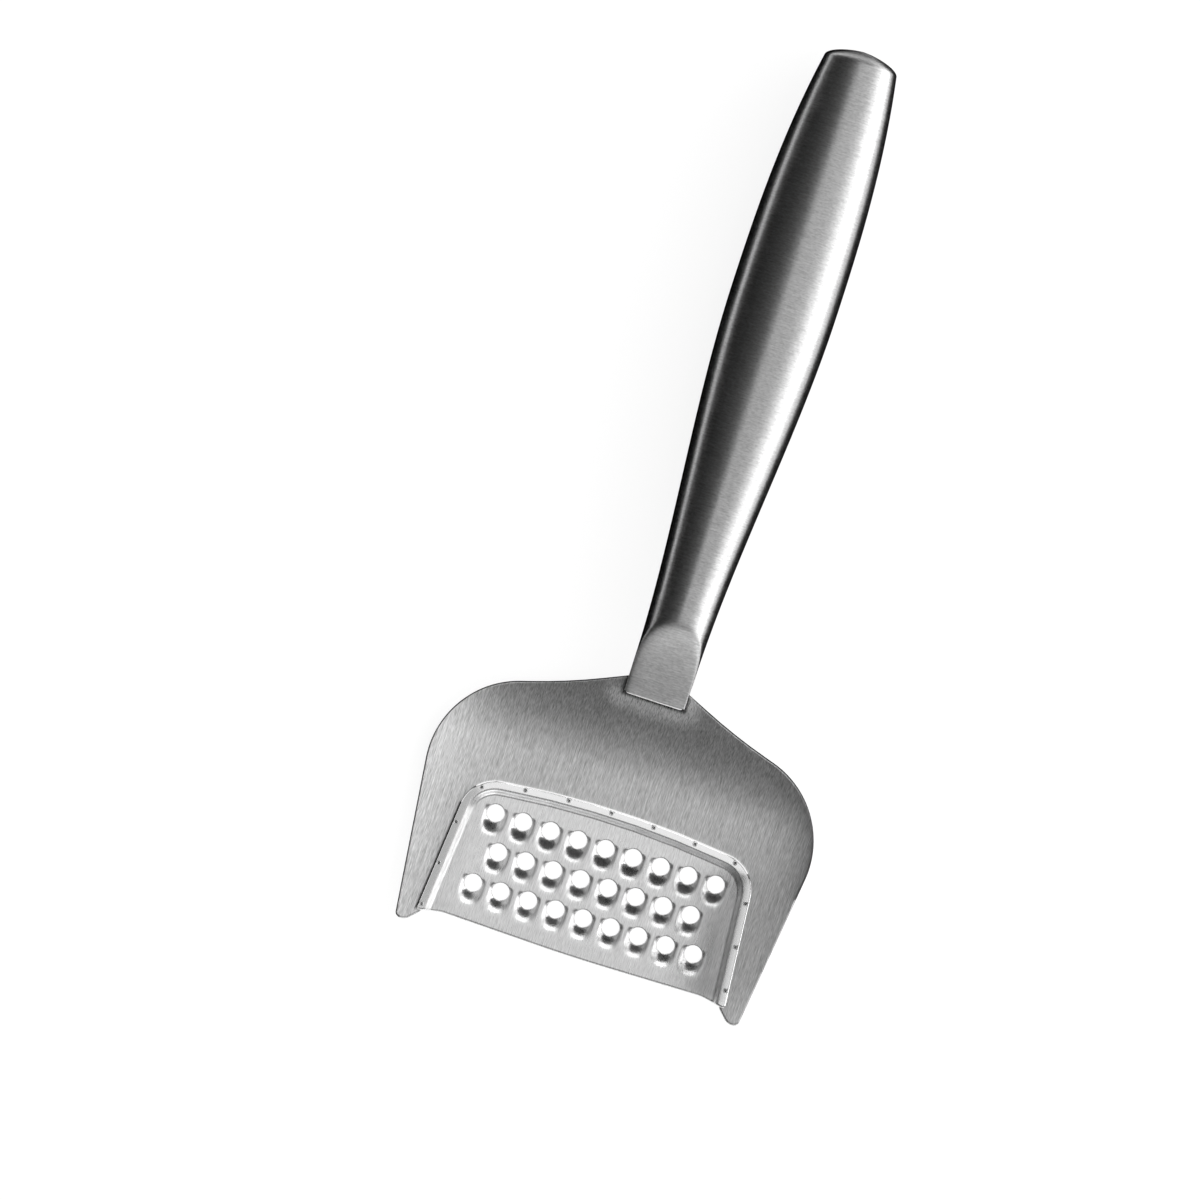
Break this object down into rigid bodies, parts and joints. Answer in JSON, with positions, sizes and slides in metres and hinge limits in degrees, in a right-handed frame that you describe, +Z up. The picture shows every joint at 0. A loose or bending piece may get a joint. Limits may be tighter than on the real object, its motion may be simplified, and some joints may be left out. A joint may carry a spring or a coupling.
{
  "type": "cheese grater",
  "caption": "Hand-held cheese grater: wide bent steel blade with a pressed, hooded grating plate welded over its open cut-out, on a smooth oval hollow steel handle.",
  "frame": {"origin": "middle of the overall box in plan, on the ground that the lips of the grating teeth and the belly of the handle rest on", "axes": "+Y from the blade's tips to the handle's end, +Z up out of the blade's upper face, +X to the right seen from above with the handle pointing away"},
  "size_m": [0.0996, 0.24, 0.0212],
  "materials": {
    "blade_steel": "brushed along the tool",
    "plate_steel": "fine satin, pressed",
    "handle_steel": "satin, brushed around the handle",
    "weld_steel": "dull, darkened by the weld"
  },
  "bodies": {
    "root": {"blade": "blade_steel", "grating_plate": "plate_steel", "neck_bolster": "handle_steel", "handle_upper_shell": "handle_steel", "handle_lower_shell": "handle_steel", "spot_weld_01": "weld_steel", "spot_weld_02": "weld_steel", "spot_weld_03": "weld_steel", "spot_weld_04": "weld_steel", "spot_weld_05": "weld_steel", "spot_weld_06": "weld_steel", "spot_weld_07": "weld_steel", "spot_weld_08": "weld_steel", "spot_weld_09": "weld_steel", "spot_weld_10": "weld_steel", "spot_weld_11": "weld_steel", "spot_weld_12": "weld_steel", "spot_weld_13": "weld_steel", "neck_weld_1": "weld_steel", "neck_weld_2": "weld_steel"}
  },
  "joints": []
}
